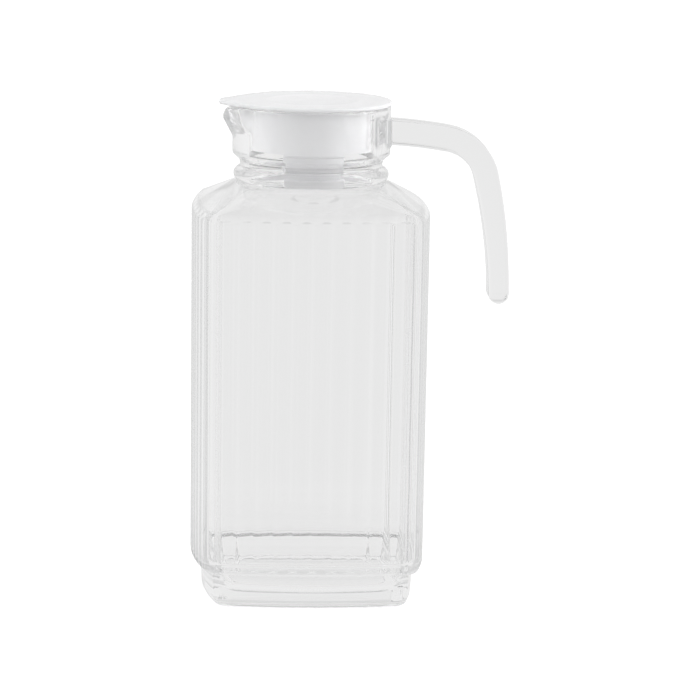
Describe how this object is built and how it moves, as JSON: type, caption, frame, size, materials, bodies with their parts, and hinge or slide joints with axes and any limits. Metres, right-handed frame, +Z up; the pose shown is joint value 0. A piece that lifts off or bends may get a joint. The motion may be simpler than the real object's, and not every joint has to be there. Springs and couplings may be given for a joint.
{
  "type": "glass pitcher with lid",
  "caption": "Square clear glass pitcher with fluted faces, a stepped foot, an open-ended glass handle, a pouring lip, and a white plastic stopper lid that lifts out of the neck.",
  "frame": {"origin": "on the neck's axis, in the plane that the jug rests on", "axes": "+Z up along the neck's axis, +X from the axis to the handle, the pouring lip on -X"},
  "size_m": [0.1446, 0.108, 0.2257],
  "materials": {
    "clear_glass": "clear polished soda-lime glass",
    "handle_glass": "clear fire-polished soda-lime glass",
    "lid_plastic": "satin white polyethylene"
  },
  "bodies": {
    "jug": {"glass_body": "clear_glass", "glass_handle": "handle_glass"},
    "lid": {"lid": "lid_plastic"}
  },
  "joints": [
    {"name": "lid_lift", "type": "slide", "parent": "jug", "child": "lid", "axis": [0, 0, 1], "range_m": [0, 0.06]}
  ]
}
